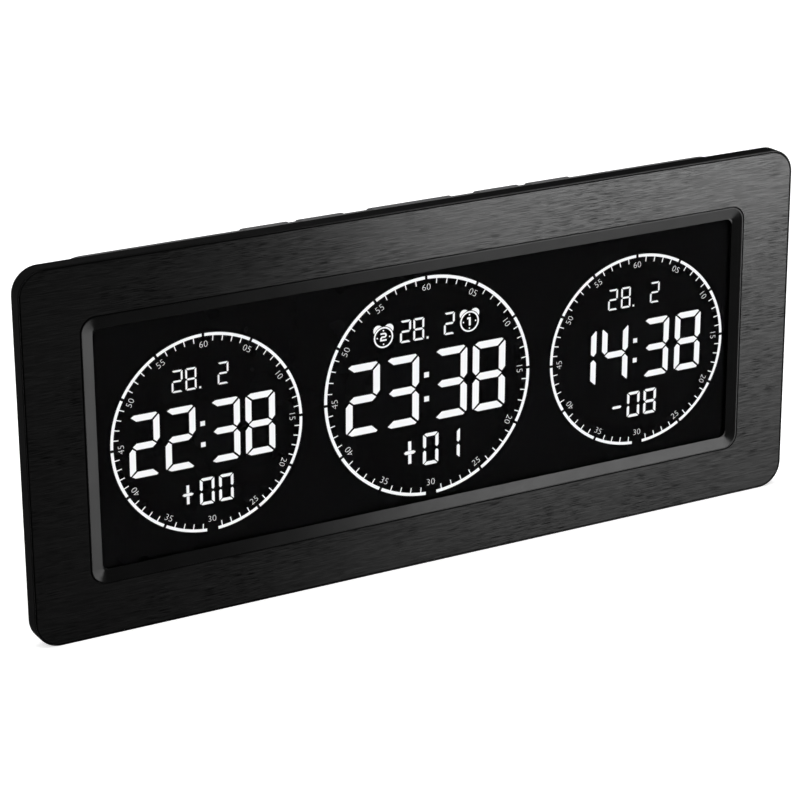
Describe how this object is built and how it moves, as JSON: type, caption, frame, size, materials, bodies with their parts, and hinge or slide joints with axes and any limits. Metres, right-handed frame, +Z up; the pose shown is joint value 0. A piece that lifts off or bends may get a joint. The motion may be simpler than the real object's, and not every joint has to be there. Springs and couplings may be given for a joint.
{
  "type": "digital alarm clock",
  "caption": "Wide desk and wall clock with a flat brushed front plate, three round display dials, push keys on top and swing-out feet.",
  "frame": {"origin": "middle of the front plate's lower edge, on which the clock stands", "axes": "+X to the right seen from the front, the face looks along -Y, +Z up"},
  "size_m": [0.33, 0.083, 0.143],
  "materials": {
    "plate_plastic": "satin black moulding",
    "face_panel": "black anodised, horizontal brushed grain",
    "window": "polished smoked pane",
    "display_glass": "black negative display with white segments",
    "rear_glass": "dark rear glass of the display",
    "white_plastic": "matt white sheet",
    "guide": "clear moulded acrylic",
    "strip_board": "white lamp board",
    "lamp": "yellow phosphor lamp",
    "inner_plastic": "pale moulded plastic",
    "screw_steel": "zinc-plated",
    "flex": "amber film",
    "board_green": "green solder mask",
    "chip_black": "black epoxy and housings",
    "bright_metal": "nickel-plated",
    "key_plastic": "satin black",
    "stem_plastic": "ivory",
    "shell_plastic": "fine-textured black moulding",
    "cell_wrap": "printed sleeve without lettering",
    "lead_cover": "insulated lead",
    "foot_plastic": "fine-textured black moulding",
    "pad_rubber": "soft black rubber"
  },
  "bodies": {
    "case": {"front_bezel": "plate_plastic", "face_panel": "face_panel", "window_pane": "window", "display_front_glass": "display_glass", "display_rear_glass": "rear_glass", "diffuser_sheet": "white_plastic", "light_guide": "guide", "reflector_sheet": "white_plastic", "lamp_strips": "strip_board", "backlight_lamps": "lamp", "display_holder": "inner_plastic", "holder_screws": "screw_steel", "display_flex": "flex", "main_board": "board_green", "board_screws": "screw_steel", "controller_chip": "chip_black", "quartz_crystal": "bright_metal", "buzzer": "chip_black", "key_board": "board_green", "key_board_screws": "screw_steel", "key_flex": "flex", "switch_housings": "chip_black", "rear_shell": "shell_plastic", "shell_screws": "screw_steel", "battery_cell_top": "cell_wrap", "battery_cell_middle": "cell_wrap", "battery_cell_bottom": "cell_wrap", "contact_plate": "bright_metal", "contact_springs": "bright_metal", "power_jack": "chip_black", "battery_leads": "lead_cover", "jack_leads": "lead_cover", "foot_pins": "bright_metal"},
    "outer_left_key_body": {"key_outer_left": "key_plastic", "stem_outer_left": "stem_plastic"},
    "inner_left_key_body": {"key_inner_left": "key_plastic", "stem_inner_left": "stem_plastic"},
    "centre_key_body": {"key_centre": "key_plastic", "stem_centre": "stem_plastic"},
    "inner_right_key_body": {"key_inner_right": "key_plastic", "stem_inner_right": "stem_plastic"},
    "outer_right_key_body": {"key_outer_right": "key_plastic", "stem_outer_right": "stem_plastic"},
    "door_body": {"battery_door": "shell_plastic"},
    "foot_left_body": {"foot_left": "foot_plastic", "foot_pad_left": "pad_rubber"},
    "foot_right_body": {"foot_right": "foot_plastic", "foot_pad_right": "pad_rubber"}
  },
  "joints": [
    {"name": "press_outer_left", "type": "slide", "parent": "case", "child": "outer_left_key_body", "axis": [0, 0, -1], "range_m": [0, 0.0007], "stiffness_N_per_m": 1600, "springref_m": -0.0003},
    {"name": "press_inner_left", "type": "slide", "parent": "case", "child": "inner_left_key_body", "axis": [0, 0, -1], "range_m": [0, 0.0007], "stiffness_N_per_m": 1600, "springref_m": -0.0003},
    {"name": "press_centre", "type": "slide", "parent": "case", "child": "centre_key_body", "axis": [0, 0, -1], "range_m": [0, 0.0007], "stiffness_N_per_m": 1600, "springref_m": -0.0003},
    {"name": "press_inner_right", "type": "slide", "parent": "case", "child": "inner_right_key_body", "axis": [0, 0, -1], "range_m": [0, 0.0007], "stiffness_N_per_m": 1600, "springref_m": -0.0003},
    {"name": "press_outer_right", "type": "slide", "parent": "case", "child": "outer_right_key_body", "axis": [0, 0, -1], "range_m": [0, 0.0007], "stiffness_N_per_m": 1600, "springref_m": -0.0003},
    {"name": "battery_door_lift", "type": "slide", "parent": "case", "child": "door_body", "axis": [0, 1, 0], "range_m": [0, 0.03]},
    {"name": "foot_left_swing", "type": "hinge", "parent": "case", "child": "foot_left_body", "pos_m": [-0.112, 0.0279, 0.042], "axis": [0, 0, 1], "range_deg": [-90, 0]},
    {"name": "foot_right_swing", "type": "hinge", "parent": "case", "child": "foot_right_body", "pos_m": [0.112, 0.0279, 0.042], "axis": [0, 0, 1], "range_deg": [0, 90]}
  ]
}
